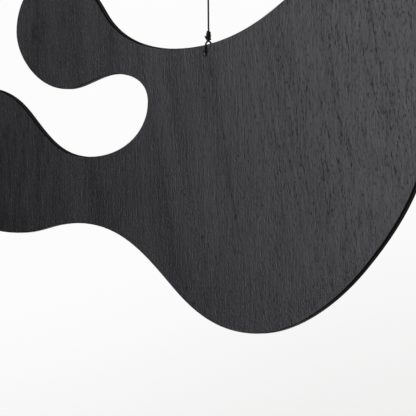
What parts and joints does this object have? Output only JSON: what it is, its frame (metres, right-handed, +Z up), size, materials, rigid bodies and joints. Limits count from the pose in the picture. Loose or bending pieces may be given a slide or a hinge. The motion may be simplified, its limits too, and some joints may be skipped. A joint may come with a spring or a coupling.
{
  "type": "hanging mobile panel",
  "caption": "Free-form flat plywood panel, stained dark, hung on a knotted twisted thread that loops through a small hole near its upper edge.",
  "frame": {"origin": "where the thread's top loop bears on the hook that holds the part up", "axes": "+X along the panel's long side, with its two small lobes towards -X; +Y through the panel, front face towards -Y; +Z up"},
  "size_m": [0.401, 0.0078, 0.2686],
  "materials": {
    "stained_ash_plywood": "matt dark stain over open vertical grain",
    "dark_thread": "twisted, matt"
  },
  "bodies": {
    "root": {"plywood_panel": "stained_ash_plywood", "hanging_thread": "dark_thread"}
  },
  "joints": []
}
